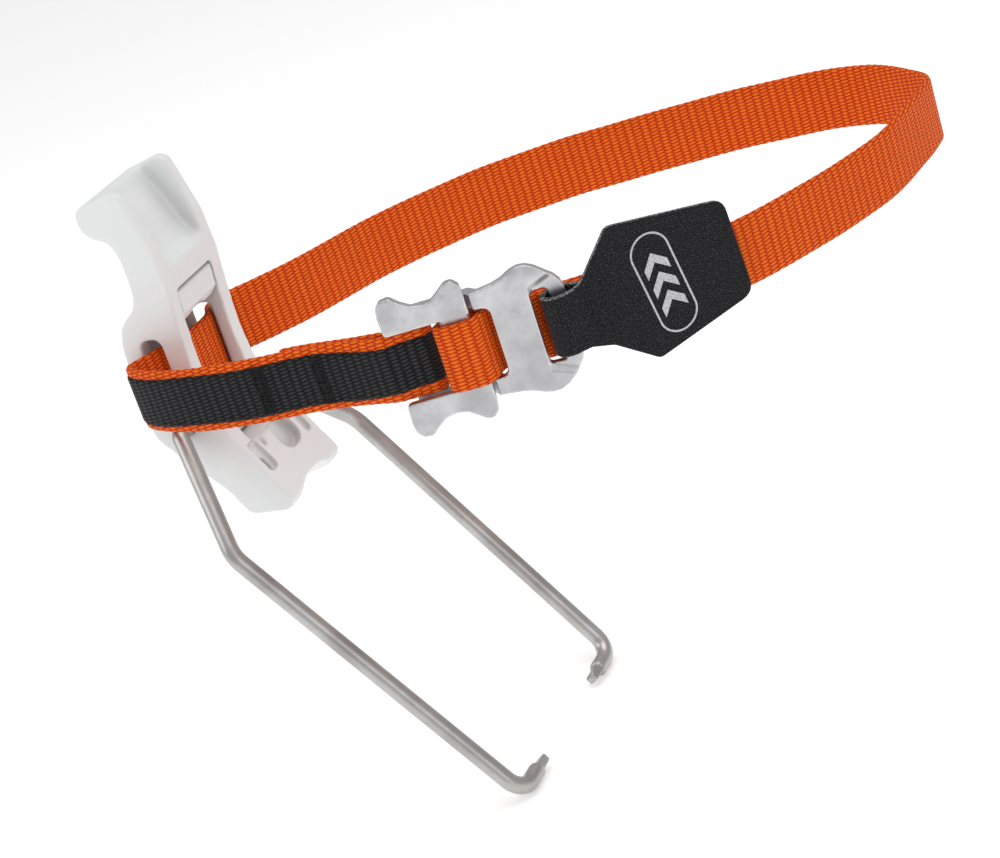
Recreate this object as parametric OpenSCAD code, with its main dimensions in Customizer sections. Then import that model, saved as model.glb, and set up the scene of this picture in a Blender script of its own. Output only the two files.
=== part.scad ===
// Heel lever binding with an ankle strap: wire bail, plastic lever,
// webbing strap, two-plate slider buckle and a fabric pull tab.
// X is across the boot, Y points to the toe, Z is up. The origin is midway
// between the two wire hooks, on the axis that they turn on.

/* [Wire bail] */
// Diameter of the stainless wire
wire_d = 4; // [3:0.1:5]
// Half the distance between the two hooks, to the wire's centre line
hook_x = 29.3; // [24:0.1:36]
// Half the distance between the two upper bends
bend_x = 32.4; // [26:0.1:40]
// Length of each long arm
arm_len = 82.7; // [60:0.1:110]
// Lean of the long arms back from vertical
arm_lean = 36; // [20:1:55]
// Half the distance between the milled ends of the hooks
tip_x = 15.7; // [10:0.1:20]
// Bend radius at the hooks and upper bends
bend_r = 5; // [4:0.5:8]

/* [Lever] */
// Position of the lever's pivot, along Y
pivot_y = -62.8; // [-70:0.1:-55]
// Height of the lever's pivot
pivot_z = 90; // [80:0.1:100]
// Radial clearance of the wire in the lever's bores
pivot_gap = 0.06; // [0.02:0.01:0.1]
// Half the width of the lever at its pivot
lever_hw = 12; // [11:0.1:15]
// Half the width of the channel between the lever's flanks
channel_hw = 8; // [6:0.1:10]
// Width of the strap slots through the flanks
slot_w = 5.4; // [4.5:0.1:6]

/* [Strap] */
// Width of the webbing
web_w = 15; // [12:0.5:20]
// Thickness of the webbing
web_t = 1.6; // [1:0.1:2.4]
// Height of the strap's centre line
web_z = 101.2; // [95:0.1:108]
// Width of the black tape on the outer face
tape_w = 12; // [8:0.2:15]
// Thickness of the black tape
tape_t = 0.7; // [0.4:0.1:1]

/* [Buckle] */
// Thickness of the two plates
plate_t = 2; // [1.5:0.1:2.5]
// Length of the slider plate's ears along the strap
ear_len = 18.4; // [15:0.1:22]
// Half the height of the slider plate
ear_h = 16; // [14:0.1:19]
// Direction of the buckle, turned from the Y axis
buckle_turn = 24; // [0:1:45]

/* [Pull tab] */
// Thickness of the laminated fabric
tab_t = 1.3; // [0.8:0.1:2]
// Direction of the tab, turned from the Y axis
tab_turn = 41; // [20:1:60]
// Length of the tab past the bar
tab_len = 40; // [25:0.2:50]

/* [Hidden] */
$fn = 48;
wr = wire_d/2;
buckle_o = [19, -1.5];         // buckle frame's own origin in plan
buckle_z = web_z + 0.4;
frame_z = web_z + 0.1;
bar_s = 36.9;                  // the tab's bar, along the buckle
bar_n = plate_t/2;
steel = [0.72, 0.72, 0.74];
alu = [0.78, 0.79, 0.8];
white = [0.93, 0.93, 0.92];
orange = [0.95, 0.33, 0.08];
black = [0.06, 0.06, 0.07];

// ---------- vectors and sweeps ----------
function unit(v) = v/norm(v);
// Catmull-Rom point between b and c
function cr(a, b, c, d, t) = 0.5*((2*b) + (c - a)*t + (2*a - 5*b + 4*c - d)*t*t + (3*b - a - 3*c + d)*t*t*t);
function at(p, i) = i < 0 ? 2*p[0] - p[1] : i >= len(p) ? 2*p[len(p)-1] - p[len(p)-2] : p[i];
function smooth(p, k = 4) = concat([for (i = [0:len(p)-2]) for (j = [0:k-1]) cr(at(p,i-1), p[i], p[i+1], at(p,i+2), j/k)], [p[len(p)-1]]);
function left_of(p, i) = let (d = unit(at(p, i+1) - at(p, i-1))) [-d[1], d[0]];
// A flat band standing on edge: path in plan, from offset a to offset b
// (positive is to the left of travel), z0 to z1
module band(p, a, b, z0, z1) {
  n = len(p);
  pts = [for (i = [0:n-1]) let (m = left_of(p, i)) each [
    concat(p[i] + a*m, z0), concat(p[i] + b*m, z0), concat(p[i] + b*m, z1), concat(p[i] + a*m, z1)]];
  faces = concat([[0, 1, 2, 3]], [for (i = [0:n-2]) for (j = [0:3]) let (k = 4*i, m = (j+1)%4)
    [k+j, k+4+j, k+4+m, k+m]], [[4*n-1, 4*n-2, 4*n-3, 4*n-4]]);
  polyhedron(points = pts, faces = faces, convexity = 12);
}

// ---------- wire ----------
arm_d = [0, -sin(arm_lean), cos(arm_lean)];
bend_p = [bend_x, arm_len*arm_d[1], arm_len*arm_d[2]];
corner_p = [15.8, pivot_y, pivot_z];
function turn(a, c, b) = acos(unit(c - a)*unit(b - c));
// points of an arc of radius rb that rounds the corner c, each with its direction
function arc(a, c, b, rb, n) = let (u = unit(c - a), v = unit(b - c), f = turn(a, c, b),
  s = c - u*rb*tan(f/2), o = c + unit(v - u)*rb/cos(f/2), e1 = (s - o)/rb)
  [for (i = [0:n]) let (t = f*i/n) [o + rb*(cos(t)*e1 + sin(t)*u), cos(t)*u - sin(t)*e1]];
wire_ref = [0, cos(arm_lean), sin(arm_lean)];
// round bar through rings given as [point, direction, how much thinner]
module bar(rings, r, k = 24) {
  n = len(rings);
  pts = [for (g = rings) let (e1 = unit(cross(wire_ref, g[1])), e2 = cross(g[1], e1))
    for (j = [0:k-1]) g[0] + (r - (len(g) > 2 ? g[2] : 0))*(cos(360*j/k)*e1 + sin(360*j/k)*e2)];
  faces = concat([[for (j = [k-1:-1:0]) j]], [for (i = [0:n-2]) for (j = [0:k-1]) let (m = (j+1)%k)
    each [[k*i+j, k*i+m, k*i+k+m], [k*i+j, k*i+k+m, k*i+k+j]]], [[for (j = [0:k-1]) (n-1)*k + j]]);
  polyhedron(points = pts, faces = [for (f = faces) [for (i = [len(f)-1:-1:0]) f[i]]], convexity = 12);
}
journal_x = [20.5, 24.2];      // round part of each hook's end
module wire_side(m) {
  c0 = [m*13.2, pivot_y, pivot_z];
  c1 = [m*corner_p[0], corner_p[1], corner_p[2]];
  c2 = [m*bend_p[0], bend_p[1], bend_p[2]];
  c3 = [m*hook_x, 0, 0];
  c4 = [m*23.8, 0, 0];
  bar(concat([[c0, [m, 0, 0], 0.08]], arc(c0, c1, c2, 3.2, 6), arc(c1, c2, c3, bend_r + 3, 6),
    arc(c2, c3, c4, bend_r, 10), [[c4, [-m, 0, 0], 0.08]]), wr);
  translate([m > 0 ? journal_x[0] : -journal_x[1], 0, 0]) rotate([0, 90, 0])
    cylinder(h = journal_x[1] - journal_x[0], r = wr, $fn = 72);
  // milled end, with flats that narrow toward the tip
  hull() {
    translate([m*21.2, 0, 0]) rotate([arm_lean, 0, 0]) cube([0.2, 3.1, 2.3], center = true);
    translate([m*(tip_x + 0.6), 0, 0]) rotate([arm_lean, 0, 0]) cube([0.02, 2.8, 2.1], center = true);
    translate([m*tip_x, 0, 0]) rotate([arm_lean, 0, 0]) cube([0.02, 2.1, 1.5], center = true);
  }
}
module wire_bail() color(steel) {
  translate([-13.6, pivot_y, pivot_z]) rotate([0, 90, 0]) cylinder(h = 27.2, r = wr, $fn = 72);
  wire_side(1);
  wire_side(-1);
}

// ---------- lever ----------
// side outline as [y, z]
lever_side = [[-70.6, 144], [-71.4, 141.5], [-71, 138.6], [-69, 136.6], [-65.6, 135.4], [-64.4, 132.6],
  [-64.1, 128.8], [-64, 125.4], [-64.2, 122.4], [-64.9, 120.4], [-66.2, 118.7], [-68.8, 116.8], [-70.6, 114.8],
  [-71.9, 111], [-72.5, 105], [-72.6, 97], [-72.4, 89.6], [-71.7, 87.2], [-70.1, 85.3], [-63.1, 77.6],
  [-59.8, 74.5], [-57.5, 71.8], [-56, 68.6], [-55, 66.9], [-53.6, 66.5], [-45, 66.6], [-43.2, 67.6],
  [-42.4, 69.4], [-47.2, 77.9], [-51.6, 85], [-54, 90], [-55.4, 96], [-56, 103.8], [-55.5, 113.4], [-54.8, 120.8],
  [-54.4, 126], [-54.7, 132.4], [-56.2, 138.6], [-57.4, 143.4], [-58.2, 145.7], [-60.4, 146.7]];
// front outline as [half width added to lever_hw, z]
lever_front = [[0.4, 60], [0.5, 72], [0.3, 84], [0.1, 92], [0, 98], [0, 120], [0.1, 135], [0.2, 150]];
// finger cup as [y, z]
cup = [[-66.4, 152], [-66, 146], [-64.4, 142], [-62.2, 138], [-60.8, 134.5], [-59.4, 131.5],
  [-57.6, 128.8], [-55.2, 127.2], [-52, 126.4], [-40, 126], [-40, 152]];
// keeper channel as [y, z]
channel = [[-40, 82.2], [-62.9, 82.2], [-70, 89.6], [-70, 112], [-68, 114.8], [-65.4, 116.8],
  [-63, 119], [-61.6, 121.2], [-40, 121.2]];
module across(p, hw) rotate([90, 0, 90]) translate([0, 0, -hw]) linear_extrude(2*hw) polygon(p);
module foot_face(x, d) // local frame on the foot's boot face: x across, d down the slope
  translate([0, -47.2, 77.9]) rotate([-149, 0, 0]) translate([x, 0, d]) children();
module pocket(x, d, w, h, depth, r = 1) foot_face(x, d)
  rotate([-90, 0, 0]) translate([0, 0, -6]) linear_extrude(depth + 6)
    offset(r) square([w - 2*r, h - 2*r], center = true);
module lever_body() color(white) difference() {
  intersection() {
    rotate([90, 0, 90]) translate([0, 0, -20]) linear_extrude(40)
      offset(0.8, $fn = 24) offset(-1.6, $fn = 24) offset(0.8, $fn = 24) polygon(lever_side);
    translate([0, -30, 0]) rotate([90, 0, 0]) linear_extrude(60)
      polygon(concat([for (p = lever_front) [lever_hw + p[0], p[1]]],
        [for (i = [len(lever_front)-1:-1:0]) [-lever_hw - lever_front[i][0], lever_front[i][1]]]));
  }
  // finger cup, narrower at its floor
  intersection() {
    across(cup, 20);
    translate([0, -30, 0]) rotate([90, 0, 0]) linear_extrude(60)
      offset(2.6) offset(-2.6) polygon([[-8.4, 125], [8.4, 125], [8.8, 134], [9.2, 143], [9.4, 158], [-9.4, 158], [-9.2, 143], [-8.8, 134]]);
  }
  // channel for the keeper
  across(channel, channel_hw);
  // bores for the wire, and strap slots through both flanks
  translate([-25, pivot_y, pivot_z]) rotate([0, 90, 0]) cylinder(h = 50, r = wr + pivot_gap, $fn = 64);
  hull() for (q = [[-66.1, 93.8, 0.9], [-67.9 + slot_w, 93.8, 0.9], [-65, 109.6, 2], [-69 + slot_w, 109.6, 2]])
    translate([-25, q[0], q[1]]) rotate([0, 90, 0]) cylinder(h = 50, r = q[2], $fn = 24);
  // lead-in from each slot toward the front of the channel
  for (m = [-1, 1]) translate([0, 0, 93.1]) linear_extrude(17.8)
    polygon([[m*7.5, -64], [m*7.5, -59.4], [m*8.3, -59.4], [m*11.4, -62.4], [m*11.4, -64]]);
  // scalloped end of the foot leaves two prongs
  foot_face(0, 22.3) rotate([90, 0, 0]) translate([0, 0, -20]) cylinder(h = 40, r = 14, $fn = 72);
  // moulded pockets in the boot face of the foot
  pocket(-2.8, -1.9, 7.8, 8, 2.8, 3);
  pocket(8.8, -2, 3.4, 8.2, 1.4, 0.8);
  pocket(9.4, 0, 2.2, 3.6, 2.6, 0.8);
  pocket(-9.4, -2, 2.2, 8.2, 1.4, 0.8);
  pocket(5.3, -5.2, 1.2, 4.6, 1.2, 0.5);
}

// ---------- keeper ----------
keeper_side = [[-62.8, 82.4], [-57.2, 82.4], [-56.4, 83.2], [-56.9, 88.2], [-58.8, 90.2], [-59.8, 91.2], [-67.6, 91.4],
  [-68, 94], [-68, 110.6], [-67.2, 111.8], [-61, 112], [-57.6, 113.2], [-55.6, 115.4], [-55.3, 120.3], [-55.8, 120.9],
  [-61.5, 120.8], [-62.9, 118.8], [-65.3, 116.6], [-67.8, 114.7], [-69.8, 111.9], [-69.8, 89.8]];
module wire_keeper() color(white) difference() {
  across(keeper_side, channel_hw - 0.25);
  translate([-20, pivot_y, pivot_z]) rotate([0, 90, 0]) cylinder(h = 40, r = wr + 0.35);
  translate([-20, pivot_y - wr - 0.35, pivot_z]) cube([40, 2*wr + 0.7, 6]);
  // curved lip above the strap
  translate([0, -57.9, 109.4]) rotate([90, 0, 0]) translate([0, 0, -4]) cylinder(h = 6, r = 5.2, $fn = 40);
}

// ---------- strap ----------
// buckle frame: s along it, n out of it
bt = [-sin(buckle_turn), cos(buckle_turn)];
bn = [cos(buckle_turn), sin(buckle_turn)];
function bk(p) = buckle_o + p[0]*bt + p[1]*bn;
// near branch, from the buckle back to the lever, then the far branch
near_pts = [[19.6, -3.2], [19.5, -6], [19.2, -10], [19.2, -15], [20, -24], [21.8, -34], [23, -43],
  [23, -51], [22.3, -57], [20.9, -62.5], [19, -66.4], [16.9, -67.9], [14.8, -67], [12.8, -65.9], [10.2, -64.7], [8.4, -63.6], [6.5, -62.4], [3, -61.1], [0, -60.8]];
far_pts = [[-3, -60.6], [-6.2, -60.7], [-8.4, -61.2], [-10.4, -62.2], [-13, -63.6], [-16.2, -63.6], [-20, -61.4], [-25, -57], [-32, -51.6], [-43, -45.6],
  [-55.5, -39], [-67, -29.6], [-75, -22], [-82.5, -12], [-89, -2], [-93.4, 7.6], [-99, 21.8],
  [-103.8, 36], [-107, 49.6], [-108.6, 61], [-107.2, 70.5], [-103.4, 77.5], [-98.5, 83.5], [-94.6, 87.6],
  [-90.5, 89.8], [-86, 90], [-80, 89.6], [-72, 88.4], [-66, 87.2], [-59.5, 85], [-50.5, 80.6],
  [-41.6, 75.8], [-31, 69.4], [-22, 62.4]];
under_sn = [[67.5, -8.6], [60, -6.8], [54, -5.4], [48, -4.6], [42, -4.4], [37, -4.3], [33, -4.1], [29, -3.3], [25, -2.2], [22.7, -1.8], [21.3, -1]];
over_sn = [[20.5, 0.6], [19.7, 2.2], [18.9, 3.5], [17.4, 4.3], [15, 4.35], [12.7, 4.3], [11.32, 3.78],
  [10.75, 2.4], [11.32, 1.02], [12.7, 0.4]];
tail_sn = [[14.5, -0.1], [16.5, -1.3], [18.5, -2.6], [21, -3.7], [24, -4.1], [27, -4.7], [30, -5.5], [33, -5.95], [37, -6.1],
  [42, -6.2], [48, -6.4], [54, -7.2], [60, -8.6]];
strap_path = smooth(concat(near_pts, far_pts, [for (p = under_sn) bk(p)], [for (p = over_sn) bk(p)]), 3);
tail_path = smooth([for (p = tail_sn) bk(p)], 3);
// the fold-back layer of the end loop, inside the near branch
fold_pts = [[16.6, -4.3], [16.9, -7], [17.35, -11], [17.5, -15], [18.1, -22], [19, -27.5]];
module ankle_strap() color(orange) {
  band(strap_path, -web_t/2, web_t/2, web_z - web_w/2, web_z + web_w/2);
  band(smooth(fold_pts, 3), -web_t/2, web_t/2, web_z - web_w/2, web_z + web_w/2);
}
module strap_tail() color(orange) {
  band(tail_path, -web_t/2, web_t/2, web_z - web_w/2, web_z + web_w/2);
}
module tail_tack() color(black)
  band([bk([55.5, -8.35]), bk([57.5, -8.85])], 0, 0.4, web_z - 6, web_z + 6);
tape_path = [for (i = [0:33]) strap_path[i]];
tape_lo = web_t/2 + 0.06;
tape_hi = tape_lo + tape_t;
module strap_tape() color(black)
  band(tape_path, tape_lo, tape_hi, web_z - tape_w/2, web_z + tape_w/2);
loop_sn = [[-0.6, 0.15], [1, 0.15], [3.6, 0.12], [6.2, 0.12], [7.5, -0.35], [8.2, -1.7], [7.5, -3.05], [6.2, -3.5], [3.6, -3.5], [1.6, -3.45], [-0.6, -3.1]];
module end_loop() color(orange)
  band(smooth([for (p = loop_sn) bk(p)], 3), -web_t/2, web_t/2, web_z - web_w/2, web_z + web_w/2);
module tack(i0, i1, o) band([for (i = [i0:i1]) tape_path[i]], tape_hi, tape_hi + o, web_z - 4.8, web_z + 4.8);
module loop_tacks() color(black) { tack(10, 11, 0.35); tack(14, 15, 0.35); }
module tape_stitches() color(black) for (m = [-1, 1])
  translate([0, 0, m*5.4]) band([for (i = [3:26]) tape_path[i]], tape_hi, tape_hi + 0.25, web_z - 0.3, web_z + 0.3);

// ---------- buckle ----------
// places a plate drawn in x = s, y = height; n comes out of it
module on_buckle(n = 0) multmatrix([[bt[0], 0, bn[0], buckle_o[0] + n*bn[0]], [bt[1], 0, bn[1], buckle_o[1] + n*bn[1]],
  [0, 1, 0, buckle_z], [0, 0, 0, 1]]) children();
ear = [for (p = [[0.2, -8], [0, -3.8], [0.3, -1.7], [1.5, -0.2], [3.6, 0], [5.4, -1.7], [7.4, -3], [9.6, -3.4], [11.8, -3],
  [13.4, -1.8], [15.2, -0.3], [16.8, -0.1], [18.1, -1.4], [18.4, -3.6], [18.3, -8]]) [p[0]*ear_len/18.4, ear_h + p[1]]];
function flip(p) = [for (i = [len(p)-1:-1:0]) [p[i][0], -p[i][1]]];
slider_n = 1.4;
hinge_s = 18.4 - plate_t/2;      // the frame tilts on the slider bar's round edge
hinge_n = slider_n + plate_t/2;
module slider_plate() color(alu) {
  difference() {
    on_buckle(slider_n) linear_extrude(plate_t) offset(0.9, $fn = 24) offset(-0.9) union() {
      polygon(ear); polygon(flip(ear));
      translate([11.7, -9]) square([6.7, 18]);
    }
    for (s = [10.7, hinge_s]) on_buckle(slider_n - 1) linear_extrude(plate_t + 2) translate([s, -7.9]) square([2, 15.8]);
  }
  for (s = [11.7 + plate_t/2, hinge_s]) on_buckle(hinge_n) translate([s, -8.2, 0]) rotate([-90, 0, 0])
    cylinder(h = 16.4, r = plate_t/2, $fn = 40);
}
// outline of the frame as [s, half height]
frame_top = [[18.8, 11.8], [21.5, 12], [24.5, 12.4], [26.6, 13], [28.6, 14], [30.4, 14.5], [32.2, 14.4], [34, 13.5],
  [35.6, 12.2], [37.2, 10.6], [38.4, 9], [38.8, 7.4]];
module rail_side(m) // jogged side rail, as a profile of s and n
  translate([0, 0, m > 0 ? 8 : -11.8]) linear_extrude(3.8)
    polygon([[2.2, -2.7], [19.4, -2.7], [21.6, 0], [21.6, 2], [19.4, 2], [17.9, -0.7], [2.2, -0.7]]);
module buckle_frame() color(alu) {
  difference() {
    translate([0, 0, frame_z - buckle_z]) on_buckle(0) linear_extrude(plate_t) offset(0.5, $fn = 16) offset(-0.5) difference() {
      polygon(concat([[19.4, 11.8]], [for (i = [1:len(frame_top)-1]) frame_top[i]], flip(concat([[19.4, 11.8]], [for (i = [1:len(frame_top)-1]) frame_top[i]]))));
      offset(1.6) offset(-1.6) translate([10, -8]) square([12.6, 16]);
    }
    translate([0, 0, frame_z - buckle_z]) on_buckle(-1) linear_extrude(plate_t + 2) translate([33.4, 0]) offset(1.2, $fn = 24) square([1.6, 14.4], center = true);
  }
  // the side rails and the left bar
  multmatrix([[bt[0], bn[0], 0, buckle_o[0]], [bt[1], bn[1], 0, buckle_o[1]], [0, 0, 1, frame_z], [0, 0, 0, 1]]) {
    rail_side(1); rail_side(-1);
    translate([2.3, -2.6, -8.1]) cube([3.8, 1.8, 16.2]);
  }
}

// ---------- pull tab ----------
// drawn round the bar: x along the tab from the bar's centre, y up
tab_r = 2.5;
tab_up = [[0, 6.9], [2.4, 6.9], [4.4, 7.6], [6.2, 9.2], [11.6, 14.9], [12.4, 15.6], [13.6, 16.05], [15, 15.8],
  [tab_len - 3.2, 11.6], [tab_len - 1.6, 10.9], [tab_len - 0.9, 9.4]];
tab_down = [[tab_len + 0.2, -8.4], [tab_len, -9.9], [tab_len - 1.2, -11], [18.2, -15], [16.8, -15.3], [15.4, -14.7],
  [9.4, -9.7], [7.4, -8.4], [4.6, -7.2], [2.4, -6.9], [0, -6.9]];
tab_skew = 0.045;              // the tongue points slightly up
tt = [-sin(tab_turn), cos(tab_turn)];
tn = [cos(tab_turn), sin(tab_turn)];
bar_c = bk([bar_s, bar_n]);
module on_tab(n = 0) multmatrix([[tt[0], 0, tn[0], bar_c[0] + n*tn[0]], [tt[1], 0, tn[1], bar_c[1] + n*tn[1]],
  [tab_skew, 1, 0, frame_z], [0, 0, 0, 1]]) children();
module pull_tab() color(black) {
  // the loop round the bar
  translate([bar_c[0], bar_c[1], frame_z - 6.9]) difference() {
    cylinder(h = 13.8, r = tab_r + tab_t, $fn = 40);
    translate([0, 0, -1]) cylinder(h = 17, r = tab_r, $fn = 40);
  }
  // the tongue
  on_tab(tab_r - 0.4) linear_extrude(tab_t) difference() {
    polygon(concat(tab_up, tab_down));
    translate([-1, -20]) square([3.2, 40]);
  }
}
module tab_stitches() color([0.75, 0.75, 0.76]) for (s = [5.4, 7.6])
  on_tab(tab_r - 0.4 + tab_t) linear_extrude(0.25) translate([s, -5.6]) square([0.6, 11.2]);

wire_bail();
lever_body();
wire_keeper();
ankle_strap();
strap_tape();
end_loop();
loop_tacks();
strap_tail();
tail_tack();
slider_plate();
buckle_frame();
pull_tab();
tab_stitches();
tape_stitches();
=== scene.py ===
import bpy, bmesh, math, random
from mathutils import Vector, Matrix
import numpy as np


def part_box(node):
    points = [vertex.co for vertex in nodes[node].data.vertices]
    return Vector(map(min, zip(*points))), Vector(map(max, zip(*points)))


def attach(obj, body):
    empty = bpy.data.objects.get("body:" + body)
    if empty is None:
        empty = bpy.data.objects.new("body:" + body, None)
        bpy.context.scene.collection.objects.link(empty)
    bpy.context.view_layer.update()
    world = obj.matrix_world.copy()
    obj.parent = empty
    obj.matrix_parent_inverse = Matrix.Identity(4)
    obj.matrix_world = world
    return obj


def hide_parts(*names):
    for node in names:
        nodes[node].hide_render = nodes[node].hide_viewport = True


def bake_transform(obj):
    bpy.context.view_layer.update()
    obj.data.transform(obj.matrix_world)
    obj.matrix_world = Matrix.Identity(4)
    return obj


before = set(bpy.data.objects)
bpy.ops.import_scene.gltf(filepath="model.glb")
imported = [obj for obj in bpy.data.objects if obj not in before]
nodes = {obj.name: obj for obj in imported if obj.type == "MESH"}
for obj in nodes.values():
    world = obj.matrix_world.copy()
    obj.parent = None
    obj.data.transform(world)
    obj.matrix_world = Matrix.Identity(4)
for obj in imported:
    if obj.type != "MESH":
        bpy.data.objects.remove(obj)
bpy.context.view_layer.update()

random.seed(7)
K = 0.001  # millimetres to metres

# ------------------------------------------------------------ shared numbers
WEB_Z, WEB_W, WEB_T = 101.2, 15.0, 1.6
TURN = math.radians(24)
BO = np.array([19.0, -1.5])
BT = np.array([-math.sin(TURN), math.cos(TURN)])
BN = np.array([math.cos(TURN), math.sin(TURN)])


def bk(p):
    return BO + p[0] * BT + p[1] * BN


NEAR = [[19.6, -3.2], [19.5, -6], [19.2, -10], [19.2, -15], [20, -24], [21.8, -34], [23, -43],
        [23, -51], [22.3, -57], [20.9, -62.5], [19, -66.4], [16.9, -67.9], [14.8, -67], [12.8, -65.9],
        [10.2, -64.7], [8.4, -63.6], [6.5, -62.4], [3, -61.1], [0, -60.8]]
FAR = [[-3, -60.6], [-6.2, -60.7], [-8.4, -61.2], [-10.4, -62.2], [-13, -63.6], [-16.2, -63.6], [-20, -61.4], [-25, -57],
       [-32, -51.6], [-43, -45.6], [-55.5, -39], [-67, -29.6], [-75, -22], [-82.5, -12], [-89, -2],
       [-93.4, 7.6], [-99, 21.8], [-103.8, 36], [-107, 49.6], [-108.6, 61], [-107.2, 70.5],
       [-103.4, 77.5], [-98.5, 83.5], [-94.6, 87.6], [-90.5, 89.8], [-86, 90], [-80, 89.6], [-72, 88.4],
       [-66, 87.2], [-59.5, 85], [-50.5, 80.6], [-41.6, 75.8], [-31, 69.4], [-22, 62.4]]
UNDER = [[67.5, -8.6], [60, -6.8], [54, -5.4], [48, -4.6], [42, -4.4], [37, -4.3], [33, -4.1],
         [29, -3.3], [25, -2.2], [22.7, -1.8], [21.3, -1]]
OVER = [[20.5, 0.6], [19.7, 2.2], [18.9, 3.5], [17.4, 4.3], [15, 4.35], [12.7, 4.3], [11.32, 3.78],
        [10.75, 2.4], [11.32, 1.02], [12.7, 0.4]]
TAIL = [[14.5, -0.1], [16.5, -1.3], [18.5, -2.6], [21, -3.7], [24, -4.1], [27, -4.7], [30, -5.5],
        [33, -5.95], [37, -6.1], [42, -6.2], [48, -6.4], [54, -7.2], [60, -8.6]]
LOOP = [[-0.6, 0.15], [1, 0.15], [3.6, 0.12], [6.2, 0.12], [7.9, -0.2], [8.9, -1.7], [7.9, -3.2],
        [6.2, -3.5], [3.6, -3.5], [1.6, -3.45], [-0.6, -3.1]]
FOLD = [[16.6, -4.3], [16.9, -7], [17.35, -11], [17.5, -15], [18.1, -22], [19, -27.5]]


# ------------------------------------------------------------ path helpers
def catmull(pts, k=8):
    p = [np.array(q, float) for q in pts]
    p = [2 * p[0] - p[1]] + p + [2 * p[-1] - p[-2]]
    out = []
    for i in range(1, len(p) - 2):
        a, b, c, d = p[i - 1], p[i], p[i + 1], p[i + 2]
        for j in range(k):
            t = j / k
            out.append(0.5 * (2 * b + (c - a) * t + (2 * a - 5 * b + 4 * c - d) * t * t
                              + (3 * b - a - 3 * c + d) * t ** 3))
    out.append(p[-2])
    return np.array(out)


def resample(p, step):
    seg = np.linalg.norm(np.diff(p, axis=0), axis=1)
    s = np.concatenate([[0], np.cumsum(seg)])
    n = max(2, int(round(s[-1] / step)) + 1)
    q = np.linspace(0, s[-1], n)
    return np.stack([np.interp(q, s, p[:, i]) for i in range(p.shape[1])], 1), q


def normals2(p):
    d = np.gradient(p, axis=0)
    d /= np.linalg.norm(d, axis=1)[:, None]
    return np.stack([-d[:, 1], d[:, 0]], 1)


# ------------------------------------------------------------ mesh helpers
def make(name, verts, faces, mats, uvs=None, mat_ids=None, smooth=True):
    """verts in millimetres; uvs per vertex, or one per face corner."""
    me = bpy.data.meshes.new(name)
    me.from_pydata([tuple(np.asarray(v) * K) for v in verts], [], faces)
    if uvs is not None:
        layer = me.uv_layers.new(name="UVMap")
        flat = []
        if len(uvs) == len(verts):
            for f in faces:
                for i in f:
                    flat += [uvs[i][0] * 0.01, uvs[i][1] * 0.01]
        else:
            for u in uvs:
                flat += [u[0] * 0.01, u[1] * 0.01]
        layer.data.foreach_set("uv", flat)
    for m in mats:
        me.materials.append(m)
    if mat_ids is not None:
        me.polygons.foreach_set("material_index", mat_ids)
    me.polygons.foreach_set("use_smooth", [smooth] * len(me.polygons))
    me.update()
    o = bpy.data.objects.new(name, me)
    bpy.context.scene.collection.objects.link(o)
    return o


def tidy(o, outward=True):
    bm = bmesh.new()
    bm.from_mesh(o.data)
    bmesh.ops.remove_doubles(bm, verts=bm.verts, dist=1e-7)
    if outward:
        bmesh.ops.recalc_face_normals(bm, faces=bm.faces)
    bm.to_mesh(o.data)
    bm.free()
    return o


# the webbing's own pitch: one rib along it, one pair of warp yarns across it
RIB, PAIR = 2.0, 0.84


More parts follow.
